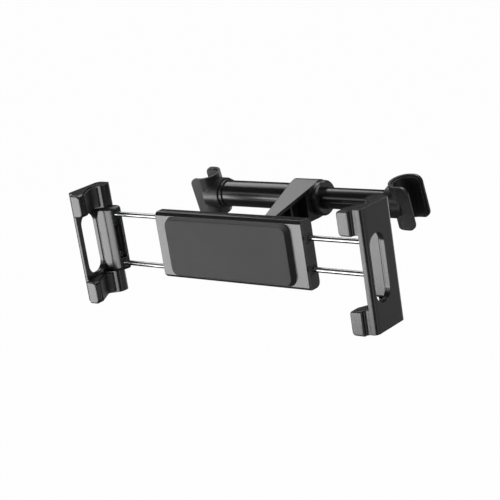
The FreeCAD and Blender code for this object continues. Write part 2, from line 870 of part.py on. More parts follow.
def lock_nut():
    """The ribbed nut that closes the socket over the ball."""
    body = start_body("nut_blank")
    front = body_back + s.nut_gap
    back = ball_y + s.nut_depth
    wall_in = s.socket_radius + s.run_fit
    step = ball_y + s.run_fit
    outline = [
        (front, wall_in),
        (front, s.nut_radius - s.nut_edge),
        (front + s.nut_edge, s.nut_radius),
        (ball_y + s.nut_straight, s.nut_radius),
        (back, s.nut_opening + s.nut_end_wall),
        (back, s.nut_opening),
        (step, s.nut_opening),
        (step, wall_in),
    ]
    turn_solid(body, "nut_turned", outline)
    rib = add_solid(
        body, "nut_rib", "X", front + s.nut_edge, ball_y + s.nut_straight,
        draw_circle, 0, s.nut_radius + s.nut_rib_rise - s.nut_rib_radius, s.nut_rib_radius,
    )
    ribs = body.newObject("PartDesign::PolarPattern", "nut_ribs")
    ribs.Originals = [rib]
    ribs.Axis = ([item for item in body.Origin.OriginFeatures if item.Role == "X_Axis"][0], [""])
    ribs.Angle = 360
    bind(ribs, "Occurrences", s.nut_rib_count)
    body.Tip = ribs
    body.Placement.Rotation = FreeCAD.Rotation(ALONG_X, ALONG_Y)
    pocket = make_sphere("nut_pocket", seat_radius + s.ball_fit, ball_y)
    return make_cut("lock_nut", body, pocket)


def ball_stud():
    """The ball and the stud that holds it in the arm's nose."""
    ball = make_sphere("stud_ball", s.ball_radius, ball_y)
    end = nose_front + s.stud_length
    shank = make_cylinder("stud_shank", "Y", s.neck_radius, ball_y, end)
    blank = make_fuse("stud_blank", [ball, shank])
    reach = s.neck_radius
    hole = make_cylinder("stud_pin_hole", "X", s.stud_pin_radius, -reach, reach, y=pin_y)
    return make_cut("ball_stud", blank, hole)


# Arm

def arm():
    """The arm: a hub round the tube, and a tapering blade with a flat top and a round nose."""
    body = start_body("arm")
    nose_back = nose_front + s.arm_nose_length
    hub_top = s.tube_z + s.hub_radius
    hub_bottom = s.tube_z - s.hub_radius
    start = nose_front + s.arm_start

    def side_line(y, end_height):
        """Height, at a distance from the tablet, of a line from the nose's edge to the hub's."""
        nose_height = s.arm_nose_radius if end_height is hub_top else -s.arm_nose_radius
        return nose_height + (y - start) * (end_height - nose_height) / (s.tube_y - start)

    side = [
        (start, -s.arm_nose_radius),
        (s.tube_y, hub_bottom),
        (s.tube_y, hub_top),
        (start, s.arm_nose_radius),
    ]
    add_solid(body, "arm_side", "X", s.hub_left, s.arm_right, draw_polygon, side)
    half = s.arm_neck_width / 2
    far = s.tube_y + s.hub_radius
    flank = s.tube_y - s.arm_flank
    outside = s.hub_radius * 2
    left = [
        (-outside, nose_front),
        (-half, nose_front),
        (-half, s.arm_waist),
        (s.hub_left, flank),
        (s.hub_left, far),
        (-outside, far),
    ]
    right = [
        (outside, nose_front),
        (outside, far),
        (s.arm_right, far),
        (s.arm_right, flank),
        (half, s.arm_waist),
        (half, nose_front),
    ]
    cut_away(body, "arm_left_taper", "Z", -s.tube_y, s.tube_y, draw_polygon, left)
    cut_away(body, "arm_right_taper", "Z", -s.tube_y, s.tube_y, draw_polygon, right)
    bevel_start = s.hub_right - s.hub_bevel
    add_solid(body, "arm_hub", "X", s.hub_left, bevel_start, draw_circle, s.tube_y, s.tube_z, s.hub_radius)
    add_solid(
        body, "arm_hub_end", "X", bevel_start, s.hub_right,
        draw_circle, s.tube_y, s.tube_z, s.hub_radius - s.hub_bevel_rise,
    )
    hub_front = s.tube_y - s.hub_radius
    above = hub_top + s.hub_radius
    flat = [
        (hub_front, side_line(hub_front, hub_top)),
        (s.tube_y, hub_top),
        (s.tube_y, above),
        (hub_front, above),
    ]
    cut_away(body, "arm_top_flat", "X", s.hub_left, s.arm_right, draw_polygon, flat)
    add_solid(body, "arm_nose", "Y", nose_front, nose_back, draw_circle, 0, 0, s.arm_nose_radius)
    cut_away(body, "arm_bore", "X", s.hub_left, s.hub_right, draw_circle, s.tube_y, s.tube_z, hub_bore)
    stud_end = nose_front + s.stud_length
    cut_away(body, "arm_stud_hole", "Y", nose_front, stud_end, draw_circle, 0, 0, s.neck_radius)
    reach = s.arm_nose_radius
    cut_away(body, "arm_pin_hole", "X", -reach, reach, draw_circle, pin_y, 0, s.stud_pin_radius)
    first = nose_back + s.arm_wall
    last = s.tube_y - s.hub_radius - s.arm_wall / 2
    middle = (first + last) / 2
    fields = {"front": (first, middle - s.arm_rib / 2), "rear": (middle + s.arm_rib / 2, last)}
    flanks = {"left": (s.hub_left, -s.arm_web / 2), "right": (s.arm_web / 2, s.arm_right)}
    for field, (near_y, far_y) in fields.items():
        outline = [
            (near_y, side_line(near_y, hub_bottom) + s.arm_wall),
            (far_y, side_line(far_y, hub_bottom) + s.arm_wall),
            (far_y, side_line(far_y, hub_top) - s.arm_wall),
            (near_y, side_line(near_y, hub_top) - s.arm_wall),
        ]
        for flank_name, (low, high) in flanks.items():
            cut_away(body, f"arm_{field}_{flank_name}", "X", low, high, draw_polygon, outline)
    return body


def stud_pin():
    """The cross pin that keeps the stud in the arm's nose."""
    reach = s.arm_neck_width / 2 - s.pin_set_back
    return make_cylinder("stud_pin", "X", s.stud_pin_radius, -reach, reach, y=pin_y)


def arm_bush():
    """The split plastic sleeve between the arm's hub and the tube."""
    spot = {"y": s.tube_y, "z": s.tube_z}
    sleeve = make_cylinder("sleeve_outside", "X", hub_bore, s.hub_left, s.hub_right, **spot)
    bore = make_cylinder("sleeve_bore", "X", s.tube_radius + s.run_fit, s.hub_left, s.hub_right, **spot)
    return make_cut("arm_bush", sleeve, bore)


# Telescopic tube and hooks

left_tube_end = s.left_post_x + s.left_boss - s.tube_seat
right_tube_end = s.right_post_x - s.right_boss + s.inner_seat
tube_bore = s.tube_radius - s.tube_wall
inner_bore = s.inner_radius - s.inner_wall


def on_tube(body):
    """Put a piece that was turned about X on the tube's axis."""
    place(body, 0, s.tube_y, s.tube_z)
    return body


def turned_piece(name, outline):
    body = start_body(name)
    turn_solid(body, f"{name}_turned", outline)
    return on_tube(body)


def sleeve_outline(low, high, inner, outer):
    return [(low, inner), (high, inner), (high, outer), (low, outer)]


HOOKS = {
    "left": (-1, s.left_post_x, s.left_boss, s.tube_seat, s.tube_radius),
    "right": (1, s.right_post_x, s.right_boss, s.inner_seat, s.inner_radius),
}
lining = s.post_radius + s.liner_thick


def draw_channel(sketch, sign, radius, reach):
    """A half circle about the origin, closed by straight sides that run out to the mouth."""
    begin = math.pi / 2 * sign
    circle = Part.Circle(FreeCAD.Vector(), FreeCAD.Vector(0, 0, 1), as_size(radius).number)
    arc = sketch.addGeometry(Part.ArcOfCircle(circle, begin, begin + math.pi), False)
    far = as_size(reach) * sign
    side = radius * sign
    corners = [(as_size(0), -side), (far, -side), (far, side), (as_size(0), side)]
    lines = []
    for here, there in zip(corners, corners[1:]):
        start = FreeCAD.Vector(here[0].number, here[1].number, 0)
        end = FreeCAD.Vector(there[0].number, there[1].number, 0)
        line = sketch.addGeometry(Part.LineSegment(start, end), False)
        pin_point(sketch, line, 1, *here)
        if lines:
            sketch.addConstraint(Sketcher.Constraint("Coincident", lines[-1], 2, line, 1))
        lines.append(line)
    pin_point(sketch, lines[-1], 2, *corners[-1])
    sketch.addConstraint(Sketcher.Constraint("Coincident", arc, 2, lines[0], 1))
    sketch.addConstraint(Sketcher.Constraint("Coincident", arc, 1, lines[-1], 2))
    sketch.addConstraint(Sketcher.Constraint("DistanceX", -1, 1, arc, 3, 0))


def lean_on_post(body, post_x):
    """Put a piece of a hook at its post, leaning as the post does."""
    place(body, post_x, s.tube_y, s.tube_z)
    body.Placement.Rotation = FreeCAD.Rotation(ALONG_X, 1)
    bind(body, "Placement.Rotation.Angle", s.post_lean)
    return body


def hook(side):
    """A post hook: an upright channel open to the outside, on a round boss along the tube."""
    sign, post_x, boss, depth, seat = HOOKS[side]
    name = f"{side}_hook"
    body = start_body(name)
    half = s.hook_height / 2
    reach = s.hook_reach
    add_solid(body, f"{name}_channel", "Z", -half, half, draw_channel, sign, s.hook_radius, reach)
    low, high = span(-sign, 0, boss)
    add_solid(body, f"{name}_boss", "X", low, high, draw_circle, 0, 0, s.boss_radius)
    cut_away(body, f"{name}_hollow", "Z", -half, half, draw_channel, sign, lining, reach)
    end = (s.hook_reach * sign).number
    round_edges(
        body, f"{name}_corners", s.hook_corner, ALONG_Y,
        lambda p: near(p.x, end), lambda p: near(abs(p.z), half),
    )
    low, high = span(-sign, boss - depth, boss)
    cut_away(body, f"{name}_seat", "X", low, high, draw_circle, 0, 0, seat)
    low, high = span(-sign, 0, boss)
    cut_away(body, f"{name}_screw_hole", "X", low, high, draw_circle, 0, 0, s.hook_screw_radius)
    low, high = span(-sign, 0, lining + s.hook_screw_sink)
    cut_away(body, f"{name}_screw_sink", "X", low, high, draw_circle, 0, 0, s.hook_screw_head)
    return lean_on_post(body, post_x)


def hook_liner(side):
    """The rubber lining of a hook, which grips the post."""
    sign, post_x = HOOKS[side][:2]
    name = f"{side}_hook_liner"
    body = start_body(name)
    half = s.hook_height / 2 - s.liner_inset
    reach = s.hook_reach - s.liner_inset
    add_solid(body, f"{name}_channel", "Z", -half, half, draw_channel, sign, lining, reach)
    cut_away(body, f"{name}_hollow", "Z", -half, half, draw_channel, sign, s.post_radius, reach)
    return lean_on_post(body, post_x)


def hook_screw(side):
    """The screw that holds a hook on the plug in its tube, with its head under the lining."""
    name = f"{side}_hook_screw"
    sign, post, boss, depth = HOOKS[side][:4]
    web_end = boss - depth
    spot = {"y": s.tube_y, "z": s.tube_z}
    head_top = lining + s.hook_screw_fit
    head_floor = lining + s.hook_screw_sink
    low, high = span(-sign, head_top, head_floor)
    head_radius = s.hook_screw_head - s.hook_screw_fit
    head = make_cylinder(f"{name}_head", "X", head_radius, post + low, post + high, **spot)
    low, high = span(-sign, head_floor, web_end + s.plug_length)
    shank = make_cylinder(f"{name}_shank", "X", s.hook_screw_radius, post + low, post + high, **spot)
    return make_fuse(name, [head, shank])


def inner_tube():
    """The thin tube that slides in the thick one, with a key groove along its front."""
    outline = sleeve_outline(s.inner_left, right_tube_end, inner_bore, s.inner_radius)
    body = turned_piece("inner_tube", outline)
    floor = s.inner_radius - s.key_depth
    half = s.key_width / 2
    end = right_tube_end - s.inner_seat
    cut_away(body, "key_groove", "X", s.inner_left, end, draw_box, -s.inner_radius, -floor, -half, half)
    return body


def tube_guide():
    """The plastic ring on the inner tube's end, which runs in the outer tube."""
    high = s.inner_left + s.guide_length
    rim = s.inner_left - s.guide_rim
    hole = inner_bore - s.guide_wall
    outline = [
        (rim, hole),
        (high, hole),
        (high, inner_bore),
        (s.inner_left, inner_bore),
        (s.inner_left, tube_bore - s.run_fit),
        (rim, tube_bore - s.run_fit),
    ]
    return turned_piece("tube_guide", outline)


def lock_collar():
    """The collar that clamps the two tubes together."""
    low = s.hub_right + s.collar_gap
    high = low + s.collar_length
    lip = high - s.collar_lip
    outline = [
        (low, s.tube_radius + s.run_fit),
        (low, s.collar_radius),
        (high - s.collar_bevel, s.collar_radius),
        (high, s.collar_radius - s.collar_bevel),
        (high, s.inner_radius + s.run_fit),
        (lip, s.inner_radius + s.run_fit),
        (lip, s.tube_radius + s.run_fit),
    ]
    return turned_piece("lock_collar", outline)


def tube_collet():
    """The plastic collet in the mouth of the outer tube, which the collar squeezes."""
    start = s.tube_right - s.collet_length
    end = s.hub_right + s.collar_gap + s.collar_length - s.collar_lip
    rim = s.tube_radius - s.collet_rim
    outline = [
        (start, s.inner_radius + s.run_fit),
        (start, tube_bore),
        (s.tube_right, tube_bore),
        (s.tube_right, rim),
        (end, rim),
        (end, s.inner_radius + s.run_fit),
    ]
    return turned_piece("tube_collet", outline)


def plain_sleeves():
    """The outer tube, the ring at its left end and the plugs that take the hook screws."""
    ring_start = s.left_post_x + s.left_boss
    left_plug_end = left_tube_end + s.plug_length
    right_plug_start = right_tube_end - s.plug_length
    spans = {
        "outer_tube": (left_tube_end, s.tube_right, tube_bore, s.tube_radius),
        "left_end_ring": (ring_start, ring_start + s.ring_length, s.tube_radius, s.ring_radius),
        "left_tube_plug": (left_tube_end, left_plug_end, s.hook_screw_radius, tube_bore),
        "right_tube_plug": (right_plug_start, right_tube_end, s.hook_screw_radius, inner_bore),
    }
    return [turned_piece(name, sleeve_outline(*sizes)) for name, sizes in spans.items()]


pieces.append(front_cover())
pieces.append(back_cover())
pieces.append(face_pad())
pieces.append(cover_screws())
pieces.append(brake_rings())
for side in ("left", "right"):
    for tag in LEVELS:
        pieces.append(rod_bush(side, tag))
        pieces.append(rod(side, tag))
        pieces.append(jaw_grip(side, tag))
    pieces.append(carriage(side))
    pieces.append(carriage_screws(side))
    pieces.append(jaw(side))
    pieces.append(hook(side))
    pieces.append(hook_liner(side))
    pieces.append(hook_screw(side))
pieces.append(ball_seat("ball_seat_front", True))
pieces.append(ball_seat("ball_seat_rear", False))
pieces.append(lock_nut())
pieces.append(ball_stud())
pieces.append(stud_pin())
pieces.append(arm())
pieces.append(arm_bush())
pieces.append(inner_tube())
pieces.append(tube_guide())
pieces.append(lock_collar())
pieces.append(tube_collet())
pieces += plain_sleeves()

doc.recompute()

for item in doc.Objects:
    troubles = [word for word in ("Invalid", "Error") if word in item.State]
    if troubles:
        raise RuntimeError(f"{item.Name} failed to build: {troubles}")

for piece in pieces:
    shape = piece.Shape
    if shape.isNull() or not shape.isValid() or not shape.Solids:
        raise RuntimeError(f"{piece.Label} has no valid solid")

os.makedirs("parts", exist_ok=True)
for piece in pieces:
    piece.Shape.exportStep(f"parts/{piece.Label}.step")
    box = piece.Shape.BoundBox
    print(
        f"{piece.Label}: {len(piece.Shape.Solids)} solid, {piece.Shape.Volume / 1000:.2f} cm3, "
        f"X {box.XMin:.1f} to {box.XMax:.1f}, Y {box.YMin:.1f} to {box.YMax:.1f}, "
        f"Z {box.ZMin:.1f} to {box.ZMax:.1f}"
    )
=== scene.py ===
# %% [markdown]
# Headrest tablet mount, dressed for its picture. A black moulded cradle holds a tablet between two
# jaws on chromed rods, and a telescopic bar with two hooks holds the cradle to the posts of a
# headrest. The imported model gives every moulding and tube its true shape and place, so this lesson
# keeps most solids and gives them real finishes. The cradle's covers and the jaws are copies with a
# few edges recut. The soft parts and the screws are made anew, because rubber and small hardware
# need rounder forms than a plain solid has.

# %% Load the fixed frame
import math

import bmesh
import bpy
import numpy as np
from mathutils import Matrix, Vector


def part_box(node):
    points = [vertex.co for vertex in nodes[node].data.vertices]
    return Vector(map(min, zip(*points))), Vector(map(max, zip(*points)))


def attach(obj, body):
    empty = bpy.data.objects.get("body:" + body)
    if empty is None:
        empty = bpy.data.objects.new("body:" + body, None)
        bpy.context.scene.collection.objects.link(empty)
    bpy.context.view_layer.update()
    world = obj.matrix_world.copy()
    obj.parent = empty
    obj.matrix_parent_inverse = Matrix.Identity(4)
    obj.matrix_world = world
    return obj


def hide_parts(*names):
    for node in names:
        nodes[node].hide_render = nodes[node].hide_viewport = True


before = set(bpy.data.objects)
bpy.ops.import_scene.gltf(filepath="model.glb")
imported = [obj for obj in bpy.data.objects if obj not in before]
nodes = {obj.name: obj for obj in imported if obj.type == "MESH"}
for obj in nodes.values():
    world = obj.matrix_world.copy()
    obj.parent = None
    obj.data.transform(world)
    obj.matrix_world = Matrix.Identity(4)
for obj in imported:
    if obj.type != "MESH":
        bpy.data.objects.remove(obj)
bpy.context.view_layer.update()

MM = 0.001
SIDES = {"left": -1, "right": 1}


def box_of(name):
    """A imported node's lowest and highest corner in millimetres. They are rounded to a micrometre, because
    mesh points are single precision."""
    return np.round(np.array(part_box(name)) / MM, 3)


# %% [markdown]
# Every new piece is one or more sheets of points, row by row. Four neighbours make a face, a closed
# sheet joins its last column to its first, and points that meet at a pole or a seam are merged.
# The faces are then turned outwards, and edges sharper than a chosen angle stay crisp.

# %% A mesh from grids of points
CREASE = math.radians(38)
MERGE = 1e-6


def grid_faces(rows, columns):
    """Faces of a closed sheet. A point's number is its row times the columns, plus its column, and each
    face takes a point, its neighbour in the next column, and the same two in the next row."""
    number = np.arange(rows * columns).reshape(rows, columns)
    beside = np.roll(number, -1, axis=1)
    return np.stack([number[:-1], beside[:-1], beside[1:], number[1:]], axis=-1).reshape(-1, 4)


def write_mesh(shape, mesh):
    """Puts an edited shape into its mesh, smooth up to the crease angle, and counts its open edges."""
    open_edges = sum(not edge.is_manifold for edge in shape.edges)
    shape.to_mesh(mesh)
    shape.free()
    mesh.shade_smooth()
    mesh.set_sharp_from_angle(angle=CREASE)
    print(mesh.name, len(mesh.polygons), "faces,", open_edges, "open edges")


def closed_piece(name, points, faces):
    """One object from points in metres and faces: merged where points meet, closed, faces outwards."""
    mesh = bpy.data.meshes.new(name)
    mesh.from_pydata(points.tolist(), [], faces.tolist())
    shape = bmesh.new()
    shape.from_mesh(mesh)
    bmesh.ops.remove_doubles(shape, verts=shape.verts, dist=MERGE)
    bmesh.ops.dissolve_degenerate(shape, edges=shape.edges, dist=MERGE)
    bmesh.ops.recalc_face_normals(shape, faces=shape.faces)
    write_mesh(shape, mesh)
    piece = bpy.data.objects.new(name, mesh)
    bpy.context.scene.collection.objects.link(piece)
    return piece


def mesh_piece(name, *grids):
    """One object from sheets of points in metres, whose faces are numbered on from sheet to sheet."""
    faces, start = [], 0
    for grid in grids:
        faces.append(grid_faces(*grid.shape[:2]) + start)
        start += grid.shape[0] * grid.shape[1]
    return closed_piece(name, np.concatenate([grid.reshape(-1, 3) for grid in grids]), np.concatenate(faces))


# %% [markdown]
# Each new piece moves with a body, has a finish slot of the record, and hides the nodes that it
# replaces. Its slot is noted, because the finishes themselves are made last.

# %% A piece's place in the model
new_slots = {}


def stand_in(piece, body, slot, *replaced):
    """The piece rides on a body, takes a finish slot, and stands for the nodes it replaces."""
    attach(piece, body)
    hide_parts(*replaced)
    new_slots[piece.name] = slot


# %% [markdown]
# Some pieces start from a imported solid. Its mesh is loose triangles, so a copy is merged first. A
# recut edge would bend the light on the large flat faces beside it, unless each point's normal
# follows its largest faces, which is what the Weighted Normal modifier does.

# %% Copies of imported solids
NEAR = 0.05


def node_arrays(name):
    """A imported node's points in millimetres, and the numbers of each triangle's corners."""
    mesh = nodes[name].data
    points, corners = np.empty(len(mesh.vertices) * 3), np.empty(len(mesh.loops), int)
    mesh.vertices.foreach_get("co", points)
    mesh.loops.foreach_get("vertex_index", corners)
    return points.reshape(-1, 3) / MM, corners.reshape(-1, 3)


def recut_stand_in(piece, body, node):
    """Keeps a recut copy's flat faces flat, and lets it stand for its node."""
    piece.modifiers.new("flat faces stay flat", "WEIGHTED_NORMAL").keep_sharp = True
    stand_in(piece, body, "moulded_black", node)


# %% [markdown]
# The cradle's front plate has a steep chamfer along its top and bottom, and the back shell behind it
# is flat there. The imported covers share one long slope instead. Everything else about them is right,
# so in each copy only the parting line between them moves out, nearly to the shell's full height.

# %% The covers
PARTING_INSET = 0.1
PARTING_Y = box_of("back_cover")[0, 1]
SLOPE_HALF = box_of("front_cover")[1, 2]
PARTING_HALF = box_of("back_cover")[1, 2] - PARTING_INSET


def recut_cover(name, node):
    """A cover whose points on the parting line, where y is PARTING_Y and z without its sign is SLOPE_HALF,
    move out to PARTING_HALF."""
    points, triangles = node_arrays(node)
    height = np.abs(points[:, 2])
    moved = (np.abs(points[:, 1] - PARTING_Y) < NEAR) & (np.abs(height - SLOPE_HALF) < NEAR)
    points[moved, 2] = np.sign(points[moved, 2]) * PARTING_HALF
    print(node, moved.sum(), "of", len(points), "points moved by", round(PARTING_HALF - SLOPE_HALF, 3), "mm")
    recut_stand_in(closed_piece(name, points * MM, triangles), "cradle", node)


recut_cover("front_plate", "front_cover")
recut_cover("rear_shell", "back_cover")

# %% [markdown]
# Behind each grip a foot stands up against the back of the tablet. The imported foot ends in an
# edge, and on the real one it is a thick round nose that draws a soft upright highlight. A bevel on
# just those edges gives the nose and leaves the rest of the jaw alone.

# %% The jaws
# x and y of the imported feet's upright edge.
FOOT_TIP, FOOT_FRONT = 131.2, 8.8
NOSE_ROUND, NOSE_STEPS = 2.8, 7
FLAT = math.radians(0.5)


def at_nose(point):
    """Whether a point in metres lies on a line that stands upright at a foot's tip."""
    return math.hypot(abs(point.x) / MM - FOOT_TIP, point.y / MM - FOOT_FRONT) < NEAR


def round_noses(mesh):
    """Bevels the feet's upright edges to an arc of NOSE_ROUND. Flat areas are joined to one face each first,
    so that each edge is whole and the arc ends cleanly."""
    shape = bmesh.new()
    shape.from_mesh(mesh)
    bmesh.ops.dissolve_limit(shape, angle_limit=FLAT, verts=shape.verts, edges=shape.edges)
    noses = [edge for edge in shape.edges if all(at_nose(corner.co) for corner in edge.verts)]
    print(mesh.name, len(noses), "edges to round")
    bmesh.ops.bevel(
        shape, geom=noses, offset=NOSE_ROUND * MM, offset_type="OFFSET", segments=NOSE_STEPS, profile=0.5,
        affect="EDGES")
    bmesh.ops.triangulate(shape, faces=shape.faces)
    write_mesh(shape, mesh)


for side in SIDES:
    points, triangles = node_arrays(f"{side}_jaw")
    jaw = closed_piece(f"{side}_jaw_moulding", points * MM, triangles)
    round_noses(jaw.data)
    recut_stand_in(jaw, f"{side}_slider", f"{side}_jaw")

# %% [markdown]
# A rounded rectangle is the outline of the face pad, and also the cross-section of every rubber
# strip. If each corner arc and each side always gets the same number of points, rings of different
# size line up point for point, and a whole pad is a stack of such rings.

# %% Rounded rectangles
ARC_STEPS = 8
QUARTERS = [(1, 1), (-1, 1), (-1, -1), (1, -1)]


def rounded_rings(half_u, half_v, corner, side_steps):
    """Points of rounded rectangles, anticlockwise, one ring for each entry of the sizes. Each corner is a
    quarter circle about a centre set in by the corner radius, and each straight side is divided evenly
    between two arcs."""
    half_u, half_v, corner = (size[..., None] for size in np.broadcast_arrays(half_u, half_v, corner))
    turn = np.linspace(0, math.pi / 2, ARC_STEPS + 1)
    arcs = []
    for quarter, (side_u, side_v) in enumerate(QUARTERS):
        angle = turn + quarter * math.pi / 2
        arcs.append(np.stack([
            side_u * (half_u - corner) + corner * np.cos(angle),
            side_v * (half_v - corner) + corner * np.sin(angle),
        ], axis=-1))
    along = np.linspace(0, 1, side_steps + 1)[1:-1, None]
    ring = []
    for arc, following in zip(arcs, arcs[1:] + arcs[:1]):
        start, end = arc[..., -1:, :], following[..., :1, :]
        ring += [arc, start + (end - start) * along]
    return np.concatenate(ring, axis=-2)


def shrunk_rings(half_u, half_v, corner, inset, side_steps):
    """The same rings moved inwards by inset, which end as a line where inset reaches the shorter half."""
    return rounded_rings(half_u - inset, half_v - inset, np.maximum(corner - inset, 0), side_steps)


print("a ring has", rounded_rings(2, 1, 0.5, 12).shape[0], "points")

# %% [markdown]
# The face pad is a thick mat of closed-cell rubber, glued to the front cover, on which the back of
# the tablet lies. A sculpted or simulated cushion would be wrong, because the real pad is flat and
# firm. So it is a stack of rings: a flat back, side walls that slope in to the face, a small
# rounded rim, and a face that is crowned by a tenth of a millimetre, which bends its highlight.

# %% The face pad
PAD_HALF_X, PAD_THICK, PAD_HALF_Z = box_of("face_pad")[1]
PAD_CORNER = 7.2
PAD_BACK = np.array([PAD_HALF_X, PAD_HALF_Z, PAD_CORNER])
# How much smaller the face is than the back, in its two half sizes and its corner radius.
PAD_SLOPE = np.array([1.9, 1.2, 1.2])
PAD_FACE = PAD_BACK - PAD_SLOPE
PAD_RIM, PAD_CROWN = 0.55, 0.12
PAD_SIDE_STEPS = 40
BACK_RINGS, WALL_RINGS, RIM_RINGS, FACE_RINGS = 5, 6, 5, 13


def pad_sheet():
    """Rings from the back's middle line to the face's middle line. The wall runs straight from the back's
    outline to the face's, the rim is a quarter circle, and the face drops by the crown times (1 - t)
    squared, where t runs from 0 at the rim to 1 in the middle."""
    back = np.linspace(PAD_BACK[1], 0, BACK_RINGS)
    wall = np.linspace(0, 1, WALL_RINGS + 1)[1:]
    rim = np.linspace(0, math.pi / 2, RIM_RINGS + 1)[1:]
    face = np.linspace(0, 1, FACE_RINGS + 1)[1:]
    wall_sizes = PAD_BACK + (PAD_FACE - PAD_BACK) * wall[:, None]
    wall_end = PAD_CROWN + PAD_RIM
    rings = np.concatenate([
        shrunk_rings(*PAD_BACK, back, PAD_SIDE_STEPS),
        rounded_rings(*wall_sizes.T, PAD_SIDE_STEPS),
        shrunk_rings(*PAD_FACE, PAD_RIM * (1 - np.cos(rim)), PAD_SIDE_STEPS),
        shrunk_rings(*PAD_FACE, PAD_RIM + (PAD_FACE[1] - PAD_RIM) * face, PAD_SIDE_STEPS),
    ])
    depth = np.concatenate([
        np.full(BACK_RINGS, PAD_THICK),
        PAD_THICK + (wall_end - PAD_THICK) * wall,
        wall_end - PAD_RIM * np.sin(rim),
        PAD_CROWN * (1 - face) ** 2,
    ])
    return np.stack([rings[..., 0], np.broadcast_to(depth[:, None], rings.shape[:2]), rings[..., 1]], axis=-1)


tablet_pad = mesh_piece("tablet_pad", pad_sheet() * MM)
stand_in(tablet_pad, "cradle", "soft_pad", "face_pad")

# %% [markdown]
# Each finger block and each hook is lined with a rubber strip. A strip is a rounded rectangle
# carried along a path, so it needs two lines: the outer one lies on the plastic, the inner one is
# the face that grips. A section runs from a point of the outer line to the same point of the inner
# one, and the sections shrink to a line at both ends, which rounds and closes them.

# %% Lines
def distances(path):
    """Each point's distance from the start, along the line."""
    return np.concatenate([[0], np.cumsum(np.linalg.norm(np.diff(path, axis=0), axis=1))])


def evenly(path, count):
    """The same line with count points at equal steps of its length."""
    far = distances(path)
    wanted = np.linspace(0, far[-1], count)
    return np.stack([np.interp(wanted, far, path[:, axis]) for axis in range(path.shape[1])], axis=-1)


def rounded_path(corners, radius, steps):
    """A line through corners, with each inner corner replaced by a curve. The curve starts and ends one
    tangent length, radius times the tangent of half the turn, from the corner, and is the quadratic curve
    that the corner pulls."""
    corners = np.array(corners, float)
    path = [corners[:1]]
    for before, corner, after in zip(corners, corners[1:], corners[2:]):
        inward = (before - corner) / np.linalg.norm(before - corner)
        onward = (after - corner) / np.linalg.norm(after - corner)
        turn = math.pi - math.acos(np.clip(inward @ onward, -1, 1))
        reach = radius * math.tan(turn / 2)
        t = np.linspace(0, 1, steps)[:, None]
        start, end = corner + inward * reach, corner + onward * reach
        path.append((1 - t) ** 2 * start + 2 * t * (1 - t) * corner + t**2 * end)
    return np.concatenate([*path, corners[-1:]])


print("a line from 0 to 3 to 4:", distances(np.array([[0, 0], [3, 0], [3, 1]])))

# %% A strip between two lines
END_ROUND = 0.5


def drawn_in(far, radius):
    """How far a rounded end lies in at a distance from that end. It is the radius minus the square root of
    radius squared minus rest squared, where rest is what the distance lacks of the radius, at least 0."""
    rest = radius - np.minimum(far, radius)
    return radius - np.sqrt(radius**2 - rest**2)


def strip_sheet(outer, inner, low, high, corner, side_steps, end_corner=0.0):
    """A closed sheet round a strip. u runs over the strip's height, from low to high, and v over its
    thickness, from 0 on the outer line to 1 on the inner line. Near each end the section is drawn in on
    all sides with the radius END_ROUND, and in height with end_corner, which rounds the strip's four
    corners. The first and last sections are lines, and close it."""
    thick = np.linalg.norm(inner - outer, axis=1).mean()
    half_u, half_v = (high - low) / 2, thick / 2
    far = distances(outer)
    from_end = np.minimum(far, far[-1] - far)
    inset = np.concatenate([[half_v], drawn_in(from_end, END_ROUND), [half_v]])
    lower = np.concatenate([[end_corner], drawn_in(from_end, end_corner), [end_corner]])
    rings = shrunk_rings(half_u - lower, half_v, corner, inset, side_steps)
    height = (low + high) / 2 + rings[..., :1]
    across = (rings[..., 1:] + half_v) / thick
    row = np.r_[0, 0:len(outer), len(outer) - 1]
    outer, inner = outer[row, None], inner[row, None]
    return np.concatenate([outer + (inner - outer) * across, height], axis=-1)


# %% [markdown]
# The four finger grips keep a tablet's edge from sliding. Their face slopes from the finger's tip
# down to the bottom of the groove, turns there in a soft corner, and climbs the short foot. The real
# ones are plain, so the work goes into the soft corner and the rounded ends.

# %% The finger grips
# x and y of each line's corners, from the finger's tip to the foot.
GRIP_OUTER = [(128.95, -16.9), (139.55, 0.4), (139.55, 2.8), (134.8, 6.15)]
GRIP_INNER = [(128.5, -15.5), (138.1, 0.6), (138.05, 0.9), (134.05, 4.75)]
OUTER_BEND, OUTER_BEND_STEPS = 0.8, 8
INNER_BEND, INNER_BEND_STEPS = 2.4, 12
GRIP_LOW, GRIP_HIGH = box_of("right_grip_upper")[:, 2]
GRIP_CORNER = 0.35
GRIP_STEPS, GRIP_SIDE_STEPS = 48, 10


def finger_grip(side, level):
    """One grip, worked out for the upper right block and mirrored to its own: x times side, z times level."""
    outer = evenly(rounded_path(GRIP_OUTER, OUTER_BEND, OUTER_BEND_STEPS), GRIP_STEPS)
    inner = evenly(rounded_path(GRIP_INNER, INNER_BEND, INNER_BEND_STEPS), GRIP_STEPS)
    return strip_sheet(outer, inner, GRIP_LOW, GRIP_HIGH, GRIP_CORNER, GRIP_SIDE_STEPS) * [side, 1, level]


for side, sign in SIDES.items():
    for tag, level in {"upper": 1, "lower": -1}.items():
        grip = mesh_piece(f"{side}_{tag}_rubber", finger_grip(sign, level) * MM)
        stand_in(grip, f"{side}_slider", "grip_rubber", f"{side}_grip_{tag}")

# %% [markdown]
# The hooks are lined with smooth rubber, so that they bite on a polished steel post without a mark.
# The lining is a half round channel with straight lips and soft rims. It leans with the post. The
# packed lining says where its post stands: its closed side is one channel radius from the post's
# middle.

